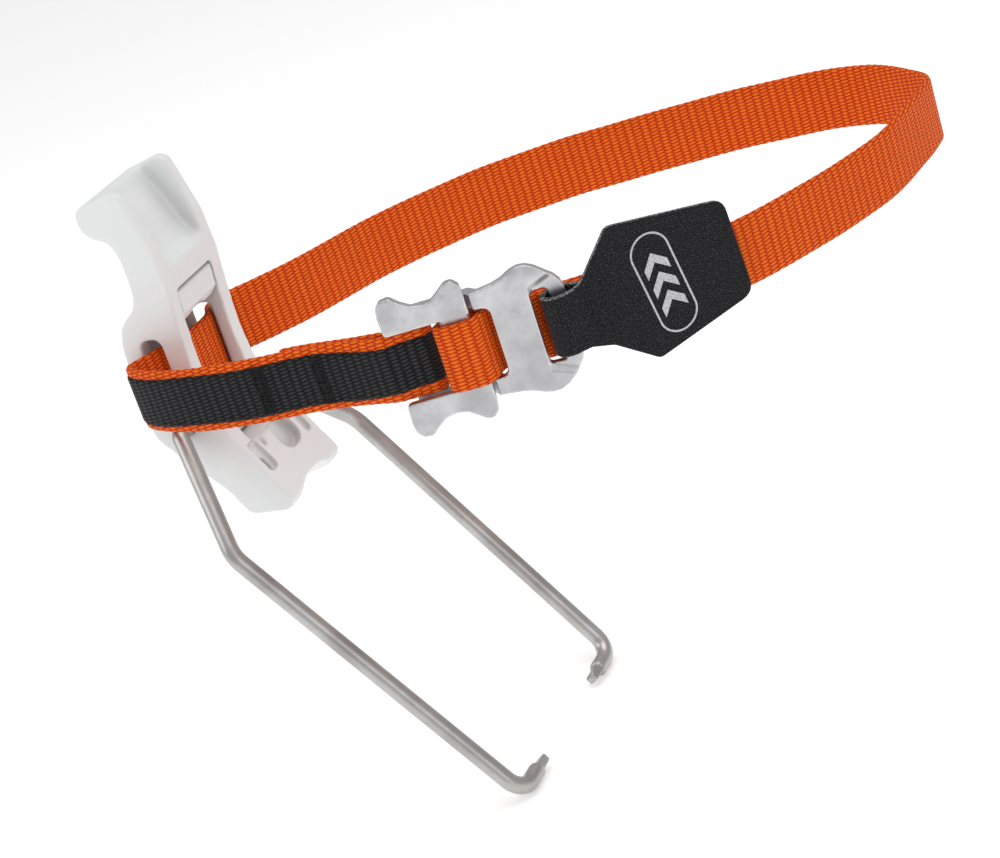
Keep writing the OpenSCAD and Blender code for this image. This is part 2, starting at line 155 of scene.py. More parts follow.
def webbing(name, path, mat, width=WEB_W, thick=WEB_T, zc=WEB_Z, off=0.0, u0=0.0, step=0.52,
            rib=0.09, edge=0.16, lift=None, squeeze=None, side=1, end_mat=None):
    """A woven band on edge. path is in plan, already resampled; off moves it along its normal."""
    p, u = resample(path, step)
    n = normals2(p)
    hw, ht = width / 2, thick / 2
    r = min(ht, 0.75)
    sect = []  # (offset, z, v)
    nz = int(width / 0.75)
    for i in range(nz + 1):
        z = -(hw - r) + 2 * (hw - r) * i / nz
        sect.append((ht, z, z, 0.0))
    for i in range(1, 5):
        a = math.pi * i / 5
        sect.append((ht * math.cos(a), (hw - r) + r * math.sin(a), (hw - r) + r * a, math.sin(a)))
    for i in range(nz + 1):
        z = (hw - r) - 2 * (hw - r) * i / nz
        sect.append((-ht, z, (hw - r) + r * math.pi + (hw - r) - z, 0.0))
    for i in range(1, 5):
        a = math.pi * i / 5
        sect.append((-ht * math.cos(a), -(hw - r) - r * math.sin(a), 3 * (hw - r) + r * math.pi + r * a, -math.sin(a)))
    m = len(sect)
    total = 4 * (hw - r) + 2 * math.pi * r
    vs = round(total / PAIR) * PAIR / total  # whole number of yarns round the band
    verts, rowuv = [], []
    for i in range(len(p)):
        uu = u[i] + u0
        c = abs(math.cos(math.pi * uu / RIB))
        bump = rib * (c ** 0.6 - 0.55)
        e = edge * (abs(math.sin(math.pi * uu / RIB)) ** 0.7 - 0.5)
        wob = 0.12 * math.sin(uu * 0.11 + 1.3) + 0.07 * math.sin(uu * 0.31 + 0.4)
        sq = 1.0 if squeeze is None else squeeze(u[i])
        zz = 0.0 if lift is None else lift(p[i])
        for (o_, z_, v_, ed) in sect:
            k = 1 if o_ > 0 else -1
            oo = o_ * sq + (bump * k if abs(o_) > 0.6 * ht else 0)
            q = p[i] + n[i] * (oo * side + off)
            verts.append((q[0], q[1], zc + z_ + ed * e + wob * 0.5 + zz))
            rowuv.append((uu, v_ * vs))
    faces, uvs, ids = [], [], []
    for i in range(len(p) - 1):
        for j in range(m):
            k = (j + 1) % m
            a, b, c, d = i * m + j, (i + 1) * m + j, (i + 1) * m + k, i * m + k
            faces.append((a, b, c, d) if side > 0 else (d, c, b, a))
            vk = rowuv[d][1] if k else total * vs
            q = [(rowuv[a][0], rowuv[a][1]), (rowuv[b][0], rowuv[b][1]),
                 (rowuv[c][0], vk if k == 0 else rowuv[c][1]), (rowuv[d][0], vk)]
            if k == 0:
                q = [(rowuv[a][0], rowuv[a][1]), (rowuv[b][0], rowuv[b][1]),
                     (rowuv[b][0], (total - (hw - r)) * vs), (rowuv[a][0], (total - (hw - r)) * vs)]
            uvs += q if side > 0 else q[::-1]
            ids.append(0)
    L = (len(p) - 1) * m
    for base, rev in ((0, True), (L, False)):
        f = [base + j for j in range(m)]
        f = f[::-1] if (rev == (side > 0)) else f
        faces.append(tuple(f))
        uvs += [(rowuv[base][0], verts[v][2]) for v in f]
        ids.append(1 if end_mat else 0)
    o = make(name, verts, faces, [mat] + ([end_mat] if end_mat else []), uvs, ids)
    return tidy(o)


def surface(path, off, zc=WEB_Z, side=1):
    """Returns place(u, v, h): the point h above the band's face at u along and v across it."""
    p, u = resample(path, 0.3)
    n = normals2(p) * side

    def place(a, v, h):
        x = np.interp(a, u, p[:, 0]); y = np.interp(a, u, p[:, 1])
        nx = np.interp(a, u, n[:, 0]); ny = np.interp(a, u, n[:, 1])
        return np.array([x + nx * (off + h), y + ny * (off + h), zc + v])
    return place, u[-1]


def tubes(name, runs, r, mat, sides=6):
    """Thread: each run is a list of points, closed at both ends."""
    verts, faces = [], []
    for run in runs:
        q = np.array(run, float)
        d = np.gradient(q, axis=0)
        d /= np.linalg.norm(d, axis=1)[:, None] + 1e-9
        ref = np.array([0.31, 0.17, 0.93])
        base = len(verts)
        for i in range(len(q)):
            e1 = np.cross(ref, d[i]); e1 /= np.linalg.norm(e1)
            e2 = np.cross(d[i], e1)
            rr = r * (0.45 if i in (0, len(q) - 1) else 1.0)
            for j in range(sides):
                a = 2 * math.pi * j / sides
                verts.append(q[i] + rr * (math.cos(a) * e1 + math.sin(a) * e2))
        for i in range(len(q) - 1):
            for j in range(sides):
                k = (j + 1) % sides
                faces.append((base + i * sides + j, base + i * sides + k,
                              base + (i + 1) * sides + k, base + (i + 1) * sides + j))
        faces.append(tuple(base + j for j in range(sides - 1, -1, -1)))
        faces.append(tuple(base + (len(q) - 1) * sides + j for j in range(sides)))
    return make(name, verts, faces, [mat], [(v[1], v[2]) for v in verts])


def stitch(a, b, rise, direction, n=6):
    a, b, d = np.array(a), np.array(b), np.array(direction)
    return [a + (b - a) * t + d * (rise * math.sin(math.pi * t) - 0.12) for t in np.linspace(0, 1, n)]


# ------------------------------------------------------------ materials
class Mat:
    def __init__(self, name):
        self.m = bpy.data.materials.new(name)
        self.m.use_nodes = True
        self.t = self.m.node_tree
        self.p = self.t.nodes["Principled BSDF"]

    def node(self, kind, **kw):
        n = self.t.nodes.new(kind)
        for k, v in kw.items():
            setattr(n, k, v)
        return n

    def link(self, a, b):
        self.t.links.new(a, b)

    def math(self, op, a, b=None, c=None, clamp=False):
        n = self.node("ShaderNodeMath", operation=op)
        n.use_clamp = clamp
        for i, x in enumerate((a, b, c)):
            if x is None:
                continue
            if isinstance(x, (int, float)):
                n.inputs[i].default_value = x
            else:
                self.link(x, n.inputs[i])
        return n.outputs[0]

    def ramp(self, fac, stops, interp="LINEAR"):
        n = self.node("ShaderNodeValToRGB")
        n.color_ramp.interpolation = interp
        e = n.color_ramp.elements
        while len(e) < len(stops):
            e.new(0.5)
        for i, (pos, col) in enumerate(stops):
            e[i].position = pos
            e[i].color = (*col, 1) if len(col) == 3 else col
        self.link(fac, n.inputs[0])
        return n.outputs[0]

    def noise(self, vec, scale, detail=3.0, rough=0.55):
        n = self.node("ShaderNodeTexNoise")
        n.inputs["Scale"].default_value = scale
        n.inputs["Detail"].default_value = detail
        n.inputs["Roughness"].default_value = rough
        if vec is not None:
            self.link(vec, n.inputs["Vector"])
        return n.outputs["Fac"]

    def coord(self, which="Object"):
        return self.node("ShaderNodeTexCoord").outputs[which]

    def mapping(self, vec, scale=(1, 1, 1), rot=(0, 0, 0)):
        n = self.node("ShaderNodeMapping")
        n.inputs["Scale"].default_value = scale
        n.inputs["Rotation"].default_value = rot
        self.link(vec, n.inputs["Vector"])
        return n.outputs[0]

    def mix(self, fac, a, b, blend="MIX"):
        n = self.node("ShaderNodeMix", data_type="RGBA", blend_type=blend)
        for s, x in ((n.inputs[0], fac), (n.inputs[6], a), (n.inputs[7], b)):
            if isinstance(x, (int, float)):
                s.default_value = x
            elif isinstance(x, tuple):
                s.default_value = (*x, 1)
            else:
                self.link(x, s)
        return n.outputs[2]

    def bump(self, height, strength, dist, normal=None):
        n = self.node("ShaderNodeBump")
        n.inputs["Strength"].default_value = strength
        n.inputs["Distance"].default_value = dist
        self.link(height, n.inputs["Height"])
        if normal is not None:
            self.link(normal, n.inputs["Normal"])
        return n.outputs[0]


def weave(name, gap, low, mid, high, rough=0.62, sheen=0.05, tint=(1, 0.6, 0.4), depth=0.00022,
          rib=RIB, pair=PAIR, speck=0.3):
    m = Mat(name)
    uv = m.node("ShaderNodeUVMap", uv_map="UVMap").outputs[0]
    sep = m.node("ShaderNodeSeparateXYZ")
    m.link(uv, sep.inputs[0])
    u = m.math("MULTIPLY", sep.outputs[0], 100)
    v = m.math("MULTIPLY", sep.outputs[1], 100)
    wander = m.noise(m.mapping(uv, (9, 9, 9)), 4.0, 2)
    u0 = m.math("ADD", u, m.math("MULTIPLY", m.math("SUBTRACT", wander, 0.5), 0.5))
    # the floats of neighbouring ribs reach between each other
    u1 = m.math("ADD", u0, m.math("MULTIPLY", m.math("SINE", m.math("MULTIPLY", v, 2 * math.pi / pair)), 0.16))
    # yarns lean a little across each rib
    v1 = m.math("ADD", v, m.math("MULTIPLY", m.math("SINE", m.math("MULTIPLY", u1, 2 * math.pi / rib)), 0.07))
    cu = m.math("COSINE", m.math("MULTIPLY", u1, math.pi / rib))
    cv = m.math("COSINE", m.math("MULTIPLY", v1, 2 * math.pi / pair))
    # one short float over each pick, neighbouring ribs half a yarn apart
    blob = m.math("ADD", m.math("MULTIPLY", m.math("MULTIPLY", cv, m.math("SIGN", cu)), 0.5), 0.5)
    crest = m.math("ADD", m.math("MULTIPLY", m.math("POWER", m.math("ABSOLUTE", cu), 0.5), 0.7), 0.3)
    h = m.math("MULTIPLY", crest, m.math("ADD", m.math("MULTIPLY", m.math("POWER", blob, 0.6), 0.72), 0.28))
    fibre = m.noise(m.mapping(uv, (40, 420, 1)), 6.0, 3, 0.6)
    h2 = m.math("ADD", h, m.math("MULTIPLY", m.math("SUBTRACT", fibre, 0.5), speck))
    fac = m.math("ADD", m.math("MULTIPLY", h2, 1.05), -0.06, clamp=True)
    col = m.ramp(fac, [(0.10, gap), (0.30, low), (0.60, mid), (0.95, high)])
    broad = m.noise(m.mapping(uv, (3, 6, 1)), 3.0, 3)
    col = m.mix(m.math("MULTIPLY", broad, 0.22), col, low)
    m.link(col, m.p.inputs["Base Color"])
    m.link(m.bump(h2, 0.9, depth), m.p.inputs["Normal"])
    m.link(m.math("ADD", m.math("MULTIPLY", fac, -0.12), rough + 0.08), m.p.inputs["Roughness"])
    m.p.inputs["Sheen Weight"].default_value = sheen
    m.p.inputs["Sheen Tint"].default_value = (*tint, 1)
    m.p.inputs["Specular IOR Level"].default_value = 0.16
    return m.m


def thread_mat(name, col, hi):
    m = Mat(name)
    w = m.noise(m.mapping(m.coord(), (900, 900, 900)), 2.0, 3)
    m.link(m.ramp(w, [(0.3, col), (0.75, hi)]), m.p.inputs["Base Color"])
    m.link(m.bump(w, 0.5, 0.00008), m.p.inputs["Normal"])
    m.p.inputs["Roughness"].default_value = 0.6
    m.p.inputs["Sheen Weight"].default_value = 0.03
    m.p.inputs["Specular IOR Level"].default_value = 0.2
    return m.m


def plastic(name, col, shade):
    m = Mat(name)
    c = m.coord()
    n1 = m.noise(m.mapping(c, (60, 60, 60)), 1.0, 4)
    n2 = m.noise(m.mapping(c, (2600, 2600, 2600)), 1.0, 3)
    # painted shade: an occlusion mask darkens recesses towards grey in the base colour
    ao = m.node("ShaderNodeAmbientOcclusion", samples=8)
    ao.inputs["Distance"].default_value = 0.008
    recess_painted_shade = m.ramp(ao.outputs["AO"], [(0.3, (0.85,) * 3), (0.92, (0, 0, 0))])
    base = m.mix(m.math("MULTIPLY", n1, 0.35), col, shade)
    # the painted recess shade is mixed into the base colour here
    m.link(m.mix(recess_painted_shade, base, (0.42, 0.435, 0.43)), m.p.inputs["Base Color"])
    m.link(m.ramp(n1, [(0.25, (0.36,) * 3), (0.8, (0.5,) * 3)]), m.p.inputs["Roughness"])
    m.link(m.bump(n2, 0.22, 0.00004), m.p.inputs["Normal"])
    m.p.inputs["Specular IOR Level"].default_value = 0.42
    return m.m


def steel(name):
    m = Mat(name)
    c = m.coord()
    drawn = m.noise(m.mapping(c, (900, 130, 130)), 3.0, 4, 0.6)
    grain = m.noise(m.mapping(c, (1800, 1800, 1800)), 1.0, 3)
    broad = m.noise(m.mapping(c, (90, 90, 90)), 1.0, 3)
    m.link(m.ramp(broad, [(0.3, (0.40, 0.385, 0.37)), (0.7, (0.56, 0.55, 0.535))]), m.p.inputs["Base Color"])
    r = m.math("ADD", m.math("MULTIPLY", drawn, 0.16), m.math("MULTIPLY", grain, 0.12))
    m.link(m.math("ADD", r, 0.24), m.p.inputs["Roughness"])
    h = m.math("ADD", m.math("MULTIPLY", drawn, 0.5), m.math("MULTIPLY", grain, 0.5))
    m.link(m.bump(h, 0.35, 0.00003), m.p.inputs["Normal"])
    m.p.inputs["Metallic"].default_value = 1.0
    return m.m


def tumbled(name):
    m = Mat(name)
    c = m.coord()
    cloud = m.noise(m.mapping(c, (170, 170, 170)), 1.0, 5, 0.65)
    fine = m.noise(m.mapping(c, (2400, 2400, 2400)), 1.0, 3)
    scr = m.noise(m.mapping(c, (240, 240, 3200), (0.2, 0.5, 0.3)), 1.0, 2)
    col = m.ramp(cloud, [(0.3, (0.44, 0.44, 0.455)), (0.5, (0.57, 0.57, 0.585)), (0.72, (0.70, 0.70, 0.71))])
    soft = m.noise(m.mapping(c, (55, 55, 55)), 1.0, 2)
    col = m.mix(m.ramp(soft, [(0.42, (0, 0, 0)), (0.68, (0.75, 0.75, 0.75))]), col, (0.38, 0.38, 0.40))
    # wear polishes the edges
    geo = m.node("ShaderNodeNewGeometry")
    edge = m.ramp(geo.outputs["Pointiness"], [(0.5, (0, 0, 0)), (0.56, (1, 1, 1))])
    m.link(m.mix(m.math("MULTIPLY", edge, 0.5), col, (0.9, 0.9, 0.9)), m.p.inputs["Base Color"])
    r = m.math("ADD", m.math("MULTIPLY", cloud, 0.24), m.math("MULTIPLY", scr, 0.08))
    m.link(m.math("SUBTRACT", m.math("ADD", r, 0.22), m.math("MULTIPLY", edge, 0.1)), m.p.inputs["Roughness"])
    m.link(m.bump(m.math("ADD", m.math("MULTIPLY", fine, 0.5), m.math("MULTIPLY", cloud, 1.0)), 0.25, 0.00007),
           m.p.inputs["Normal"])
    m.p.inputs["Metallic"].default_value = 1.0
    return m.m


def knit(name):
    m = Mat(name)
    uv = m.node("ShaderNodeUVMap", uv_map="UVMap").outputs[0]
    sep = m.node("ShaderNodeSeparateXYZ")
    m.link(uv, sep.inputs[0])
    u = m.math("MULTIPLY", sep.outputs[0], 100)
    v = m.math("MULTIPLY", sep.outputs[1], 100)
    wob = m.noise(m.mapping(uv, (60, 60, 1)), 2.0, 2)
    u1 = m.math("ADD", u, m.math("MULTIPLY", wob, 0.5))
    v1 = m.math("ADD", v, m.math("MULTIPLY", m.math("SINE", m.math("MULTIPLY", u1, 2 * math.pi / 0.9)), 0.12))
    a = m.math("SINE", m.math("MULTIPLY", u1, 2 * math.pi / 0.78))
    b = m.math("SINE", m.math("ADD", m.math("MULTIPLY", v1, 2 * math.pi / 0.5), m.math("MULTIPLY", u1, math.pi / 0.78)))
    h = m.math("MULTIPLY", a, b)
    fuzz = m.noise(m.mapping(uv, (95, 95, 1)), 3.0, 4, 0.75)
    h2 = m.math("ADD", m.math("MULTIPLY", h, 0.3), m.math("MULTIPLY", fuzz, 2.3))
    fac = m.math("MULTIPLY", m.math("ADD", h2, -0.35), 0.62, clamp=True)
    col = m.ramp(fac, [(0.25, (0.0015, 0.0015, 0.002)), (0.5, (0.010, 0.010, 0.0115)), (0.66, (0.035, 0.035, 0.038)),
                       (0.88, (0.17, 0.17, 0.175))])
    m.link(col, m.p.inputs["Base Color"])
    m.link(m.bump(h2, 0.8, 0.00015), m.p.inputs["Normal"])
    m.p.inputs["Roughness"].default_value = 0.75
    m.p.inputs["Sheen Weight"].default_value = 0.06
    m.p.inputs["Sheen Tint"].default_value = (0.8, 0.8, 0.85, 1)
    m.p.inputs["Specular IOR Level"].default_value = 0.15
    return m.m


def cut_edge(name):
    m = Mat(name)
    c = m.coord()
    n = m.noise(m.mapping(c, (2200, 2200, 2200)), 1.0, 3)
    m.link(m.ramp(n, [(0.38, (0.008, 0.008, 0.009)), (0.5, (0.10, 0.10, 0.105)), (0.68, (0.45, 0.45, 0.46))]),
           m.p.inputs["Base Color"])
    m.link(m.bump(n, 0.6, 0.0001), m.p.inputs["Normal"])
    m.p.inputs["Roughness"].default_value = 0.8
    return m.m


def print_mat(name):
    m = Mat(name)
    n = m.noise(m.mapping(m.coord(), (2600, 2600, 2600)), 1.0, 3)
    m.link(m.ramp(n, [(0.25, (0.30, 0.30, 0.31)), (0.55, (0.60, 0.60, 0.61)), (0.9, (0.74, 0.74, 0.75))]),
           m.p.inputs["Base Color"])
    m.link(m.bump(n, 0.4, 0.00006), m.p.inputs["Normal"])
    m.p.inputs["Roughness"].default_value = 0.55
    return m.m


M_ORANGE = weave("webbing_orange", (0.24, 0.011, 0.0004), (0.56, 0.036, 0.0008), (0.87, 0.098, 0.002),
                 (1.0, 0.23, 0.010))
M_BLACK = weave("tape_black", (0.0008, 0.0008, 0.001), (0.004, 0.004, 0.0045), (0.015, 0.015, 0.017),
                (0.052, 0.052, 0.056), sheen=0.02, tint=(0.8, 0.8, 0.9))
M_FUSED = weave("webbing_cut_end", (0.05, 0.004, 0.001), (0.20, 0.02, 0.004), (0.30, 0.035, 0.008),
                (0.42, 0.06, 0.012), rib=0.9, pair=0.6)
M_THREAD = thread_mat("thread_black", (0.002, 0.002, 0.0025), (0.022, 0.022, 0.024))
M_GREY_THREAD = thread_mat("thread_charcoal", (0.004, 0.004, 0.0045), (0.045, 0.045, 0.048))
M_WHITE = plastic("plastic_white", (0.845, 0.86, 0.862), (0.80, 0.815, 0.82))
M_KEEPER = plastic("plastic_white_keeper", (0.85, 0.865, 0.868), (0.80, 0.82, 0.825))
M_STEEL = steel("steel_drawn_wire")
M_ALU = tumbled("aluminium_tumbled")
M_KNIT = knit("laminate_knit")
M_CUT = cut_edge("laminate_cut_edge")
M_PRINT = print_mat("print_grey")

# ------------------------------------------------------------ moulded and stamped pieces
def merged_copy(node, name):
    me = nodes[node].data.copy()
    me.name = name
    o = bpy.data.objects.new(name, me)
    bpy.context.scene.collection.objects.link(o)
    bm = bmesh.new()
    bm.from_mesh(me)
    bmesh.ops.remove_doubles(bm, verts=bm.verts, dist=2e-6)
    bm.to_mesh(me)
    bm.free()
    return o


def soften(o, voxel, rounds, factor=0.5, mat=None, bend=None):
    """Rounds every edge: the solid is remeshed finely and relaxed."""
    r = o.modifiers.new("fine", "REMESH")
    r.mode = "VOXEL"
    r.voxel_size = voxel
    r.use_smooth_shade = True
    s = o.modifiers.new("relax", "SMOOTH")
    s.factor = factor
    s.iterations = rounds
    dg = bpy.context.evaluated_depsgraph_get()
    me = bpy.data.meshes.new_from_object(o.evaluated_get(dg))
    o.modifiers.clear()
    old = o.data
    o.data = me
    bpy.data.meshes.remove(old)
    me.name = o.name
    me.materials.clear()
    me.materials.append(mat)
    if bend:
        co = np.zeros(len(me.vertices) * 3)
        me.vertices.foreach_get("co", co)
        co = bend(co.reshape(-1, 3))
        me.vertices.foreach_set("co", co.ravel())
    me.polygons.foreach_set("use_smooth", [True] * len(me.polygons))
    me.update()
    return o


def relax(o, weight, rounds):
    """Rounds edges further where weight(co in mm) is above 0."""
    me = o.data
    n = len(me.vertices)
    co = np.zeros(n * 3)
    me.vertices.foreach_get("co", co)
    co = co.reshape(-1, 3)
    ed = np.zeros(len(me.edges) * 2, np.int64)
    me.edges.foreach_get("vertices", ed)
    ed = ed.reshape(-1, 2)
    deg = np.bincount(ed.ravel(), minlength=n).astype(float)[:, None]
    w = weight(co * 1000)[:, None]
    for _ in range(rounds):
        acc = np.zeros_like(co)
        for k in range(3):
            acc[:, k] = (np.bincount(ed[:, 0], co[ed[:, 1], k], n) + np.bincount(ed[:, 1], co[ed[:, 0], k], n))
        co += w * 0.6 * (acc / np.maximum(deg, 1) - co)
    me.vertices.foreach_set("co", co.ravel())
    me.update()


def lever_soft(q):
    head = np.clip((q[:, 2] - 122) / 6, 0, 1) * 0.62
    foot = np.clip((82 - q[:, 2]) / 6, 0, 1) * 0.1
    return np.maximum(0.12, np.maximum(head, foot))


def keep_size(o, node):
    """Relaxing pulls corners in a little, so the box is brought back to the solid's."""
    lo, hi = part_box(node)
    co = np.zeros(len(o.data.vertices) * 3)
    o.data.vertices.foreach_get("co", co)
    co = co.reshape(-1, 3)
    a, b = co.min(0), co.max(0)
    lo, hi = np.array(lo), np.array(hi)
    co = lo + (co - a) * (hi - lo) / (b - a)
    o.data.vertices.foreach_set("co", co.ravel())
    o.data.update()


lever = soften(merged_copy("lever_body", "lever_moulding"), 0.00032, 4, 0.5, M_WHITE)
relax(lever, lever_soft, 34)
keep_size(lever, "lever_body")
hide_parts("lever_body"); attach(lever, "lever")

keeper = soften(merged_copy("wire_keeper", "keeper_moulding"), 0.00022, 4, 0.5, M_KEEPER)
keep_size(keeper, "wire_keeper")
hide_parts("wire_keeper"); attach(keeper, "lever")

slider = soften(merged_copy("slider_plate", "slider_stamping"), 0.00018, 5, 0.5, M_ALU)
keep_size(slider, "slider_plate")
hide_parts("slider_plate"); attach(slider, "lever")


def frame_bend(co):
    # the corners by the tab's bar are pressed back into shallow shoulders
    q = co[:, :2] * 1000 - BO
    s, n = q @ BT, q @ BN
    z = np.abs(co[:, 2] * 1000 - 101.3)
    dist = (s - 30.6) * 0.375 - (z - 9.9) * 0.927
    w = np.minimum(np.clip(dist / 2.0, 0, 1), np.clip((s - 31.0) / 1.5, 0, 1))
    w = w * w * (3 - 2 * w)
    rim = np.clip((z - 10.5) / 3.5, 0, 1) * np.clip((s - 24) / 5, 0, 1)
    w = w * 0.7 + rim * rim * 0.3
    co[:, :2] -= (w[:, None] * BN) * K
    return co


ladder = soften(merged_copy("buckle_frame", "frame_stamping"), 0.00018, 5, 0.5, M_ALU, frame_bend)
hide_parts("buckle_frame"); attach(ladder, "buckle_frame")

# ------------------------------------------------------------ wire bail
LEAN = math.radians(36)
AX_Y = np.array([0, math.cos(LEAN), math.sin(LEAN)])


def unit(v):
    v = np.array(v, float)
    return v / np.linalg.norm(v)


def fillet(a, c, b, rb, n):
    a, c, b = map(lambda q: np.array(q, float), (a, c, b))
    u, v = unit(c - a), unit(b - c)
    f = math.acos(np.clip(u @ v, -1, 1))
    s = c - u * rb * math.tan(f / 2)
    o = c + unit(v - u) * rb / math.cos(f / 2)
    e1 = (s - o) / rb
    return [(o + rb * (math.cos(f * i / n) * e1 + math.sin(f * i / n) * u),
             math.cos(f * i / n) * u - math.sin(f * i / n) * e1) for i in range(n + 1)]


def straight(a, b, n):
    a, b = np.array(a, float), np.array(b, float)
    return [(a + (b - a) * i / n, unit(b - a)) for i in range(1, n)]


arm = np.array([0, -math.sin(LEAN), math.cos(LEAN)]) * 82.7
C0, C1 = np.array([0, -62.8, 90.0]), np.array([15.8, -62.8, 90.0])
C2, C3 = np.array([32.4, arm[1], arm[2]]), np.array([29.3, 0, 0])
X0 = np.array([-1.0, 0, 0])
rings = []  # point, direction, half sizes, squareness
for x, a, b, e, in ((15.68, 0.55, 0.3, 5), (15.72, 0.8, 0.55, 5), (15.95, 1.06, 0.78, 6), (16.3, 1.34, 1.0, 6),
                    (17.2, 1.41, 1.06, 6), (18.6, 1.47, 1.1, 6), (19.9, 1.53, 1.14, 6), (20.15, 1.6, 1.25, 5),
                    (20.4, 1.86, 1.7, 2.6), (20.6, 1.98, 1.97, 2), (21.4, 2, 2, 2), (22.6, 2, 2, 2)):
    rings.append((np.array([x, 0, 0]), X0, a, b, e))
tip_r = rings
mid = []
h1 = fillet(C2, C3, [20, 0, 0], 5, 16)
h2 = fillet(C1, C2, C3, 8, 12)
h3 = fillet(C0, C1, C2, 3.2, 10)
half = h3 + straight(h3[-1][0], h2[0][0], 5) + h2 + straight(h2[-1][0], h1[0][0], 26) + h1
centre = straight([-h3[0][0][0], -62.8, 90], h3[0][0], 10)
right = [(p, d, 2, 2, 2) for p, d in half] + tip_r[::-1]
left = [(p * np.array([-1, 1, 1]), d * np.array([1, -1, -1]), a, b, e) for p, d, a, b, e in right[::-1]]
rings = left + [(p, d, 2, 2, 2) for p, d in centre] + right
verts, faces, uvs = [], [], []
NS = 40
run = 0.0
for i, (p, d, a, b, e) in enumerate(rings):
    if i:
        run += np.linalg.norm(p - rings[i - 1][0])
    e1 = unit(np.cross(AX_Y, d)); e2 = np.cross(d, e1)
    for j in range(NS):
        t = 2 * math.pi * j / NS
        cx, sy = math.cos(t), math.sin(t)
        q = 2 / e
        verts.append(p + e1 * b * math.copysign(abs(cx) ** q, cx) + e2 * a * math.copysign(abs(sy) ** q, sy))
        uvs.append((run, 2 * t))
for i in range(len(rings) - 1):
    for j in range(NS):
        k = (j + 1) % NS
        faces.append((i * NS + j, i * NS + k, (i + 1) * NS + k, (i + 1) * NS + j))
faces.append(tuple(range(NS - 1, -1, -1)))
faces.append(tuple((len(rings) - 1) * NS + j for j in range(NS)))
wire = tidy(make("wire_drawn", verts, faces, [M_STEEL], uvs))
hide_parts("wire_bail"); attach(wire, "wire")

# ------------------------------------------------------------ webbing
SPLIT = 8  # the near branch hands over to the lever's own piece here
near_full = catmull(NEAR, 12)
loop = [list(bk(p)) for p in LOOP]
near_path = np.concatenate([
    catmull(FOLD[::-1] + loop[::-1] + NEAR, 12)[: (len(FOLD) + len(LOOP) + SPLIT) * 12 + 1]])
rest_pts = NEAR[SPLIT - 1:] + FAR + [list(bk(p)) for p in UNDER + OVER + TAIL]
rest_path = catmull(rest_pts, 12)[12:]
_, u_near = resample(near_path, 0.52)
near = webbing("webbing_near", near_path, M_ORANGE, side=1, end_mat=M_FUSED,
               squeeze=None)
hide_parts("end_loop", "ankle_strap")


def settle(q):
    # the load strap hangs a little lower once it is past the buckle's window
    d = np.asarray(q) - BO
    a = min(1.0, max(0.0, (q[0] + 80.0) / 35.0))
    b = min(1.0, max(0.0, (float(d @ BT) - 22.5) / 9.0))
    w = a * b
    return -1.5 * w * w * (3 - 2 * w)


far = webbing("webbing_ankle", rest_path, M_ORANGE, u0=u_near[-1], side=1, end_mat=M_FUSED, lift=settle)
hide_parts("ankle_strap", "strap_tail"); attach(far, "lever")

# black tape on the outer face, from inside the slider to the turn at the lever
TAPE = [list(bk(p)) for p in [[8.75, -2.3], [8.9, -1.7], [7.9, -0.2], [6.2, 0.12], [3.6, 0.12], [1, 0.15], [-0.6, 0.15]]] + NEAR[:12]
tape_path = catmull(TAPE, 12)
OFF = WEB_T / 2


def tape_piece(name, path, mat, half=5.75, h=0.42, u0=0.0):
    p, u = resample(path, 0.4)
    n = normals2(p)
    verts, uvs, faces = [], [], []
    rows = 16
    for i in range(len(p)):
        uu = u[i] + u0
        c = abs(math.cos(math.pi * uu / RIB))
        tooth = 0.42 * (c ** 0.7 - 0.5)
        wav = 0.16 * math.sin(uu * 0.23 + 0.6)
        b = 0.10 * (c ** 0.6 - 0.5)
        top = []
        for j in range(rows + 1):
            f = -1 + 2 * j / rows
            z = f * (half - 0.45 * min(1.0, max(0.0, (22.0 - uu) / 8.0)) + tooth) + wav * (2.0 if uu < 30 else 1.0)
            r = h + b if abs(f) < 0.99 else 0.12
            top.append((r, z))
        sect = top + [(-0.15, z) for r, z in top[::-1]]
        for r, z in sect:
            q = p[i] + n[i] * (OFF + r)
            verts.append((q[0], q[1], WEB_Z + z))
            uvs.append((uu, z))
    m = 2 * (rows + 1)
    for i in range(len(p) - 1):
        for j in range(m):
            k = (j + 1) % m
            faces.append((i * m + j, (i + 1) * m + j, (i + 1) * m + k, i * m + k))
    faces.append(tuple(range(m - 1, -1, -1)))
    faces.append(tuple((len(p) - 1) * m + j for j in range(m)))
    return tidy(make(name, verts, faces, [mat], uvs))


tape = tape_piece("tape_woven", tape_path, M_BLACK)
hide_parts("strap_tape")

# ------------------------------------------------------------ stitching on the tape
place, tape_len = surface(tape_path, OFF)


def u_at(y):
    q, u = resample(tape_path, 0.3)
    return float(np.interp(-y, -q[:, 1], u))


def bartack(name, ya, yb):
    ua, ub = u_at(ya), u_at(yb)
    runs = []
    rows = 26
    for i in range(rows):
        v = -5.5 + 11.0 * (i + 0.5) / rows
        jig = random.uniform(-0.6, 0.6)
        a, b = ua + random.uniform(-0.5, 0.4), ub + random.uniform(-0.4, 0.5)
        steps = np.linspace(0, 1, 7)
        runs.append([place(a + (b - a) * t, v + jig * t + 0.21 * t, 0.36 + 0.2 * math.sin(math.pi * t)) for t in steps])
    for u_edge in (ua + 0.5, (ua + ub) / 2, ub - 0.5):
        runs.append([place(u_edge + random.uniform(-0.12, 0.12), -5.6 + 11.2 * t, 0.56 + 0.05 * math.sin(t * 60))
                     for t in np.linspace(0, 1, 40)])
    return tubes(name, runs, 0.17, M_THREAD)


tack_a = bartack("bartack_front", -17.2, -20.6)
tack_b = bartack("bartack_rear", -31.0, -34.4)
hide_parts("loop_tacks"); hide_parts("loop_tacks")

